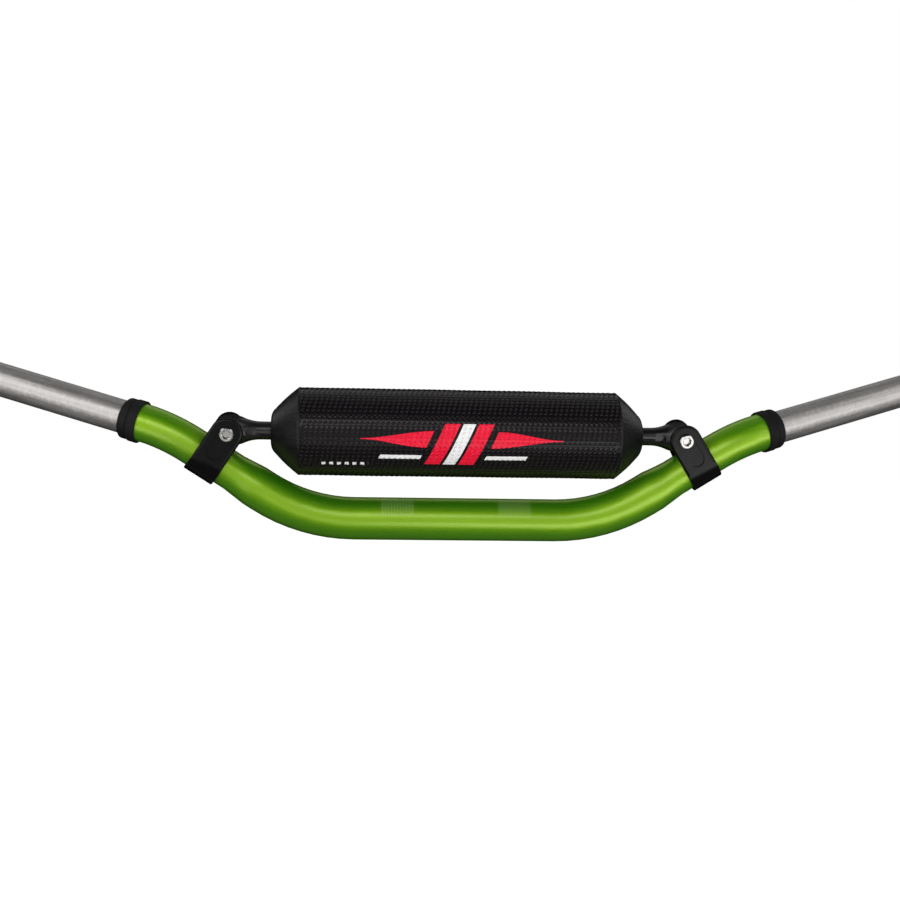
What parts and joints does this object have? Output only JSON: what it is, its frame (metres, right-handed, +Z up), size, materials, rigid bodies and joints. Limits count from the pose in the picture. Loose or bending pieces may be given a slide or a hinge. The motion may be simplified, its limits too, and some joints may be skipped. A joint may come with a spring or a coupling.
{
  "type": "motocross handlebar",
  "caption": "Wide bent motocross handlebar tube with a clamped crossbar, a round foam crossbar pad and rubber collars.",
  "frame": {"origin": "middle of the tube's straight centre, on its axis, where the fork clamps hold it", "axes": "+X along the bar to the picture's right, +Y backwards to the rider, the way the ends sweep, +Z up, the crossbar straight above the tube"},
  "size_m": [0.8076, 0.1, 0.1316],
  "materials": {
    "tube_aluminium": "green anodised middle, bare brushed ends",
    "collar_rubber": "matte black",
    "clamp_metal": "gloss black",
    "fastener_steel": "bright zinc plated",
    "bush_plastic": "black nylon",
    "crossbar_metal": "satin black",
    "pad_foam": "closed-cell black foam",
    "pad_vinyl": "embossed black vinyl",
    "pad_end_vinyl": "smooth black vinyl",
    "closure_fabric": "black hook and loop"
  },
  "bodies": {
    "root": {"handlebar_tube": "tube_aluminium", "collar_left": "collar_rubber", "collar_right": "collar_rubber", "clamp_left": "clamp_metal", "clamp_right": "clamp_metal", "clamp_bolt_left": "fastener_steel", "clamp_bolt_right": "fastener_steel", "clamp_washer_left": "fastener_steel", "clamp_washer_right": "fastener_steel", "clamp_nut_left": "fastener_steel", "clamp_nut_right": "fastener_steel", "eye_bush_front_left": "bush_plastic", "eye_bush_front_right": "bush_plastic", "eye_bush_rear_left": "bush_plastic", "eye_bush_rear_right": "bush_plastic", "crossbar": "crossbar_metal", "pad_foam": "pad_foam", "pad_cover": "pad_vinyl", "pad_end_left": "pad_end_vinyl", "pad_end_right": "pad_end_vinyl", "pad_hook_strip": "closure_fabric", "pad_loop_strip": "closure_fabric"}
  },
  "joints": []
}
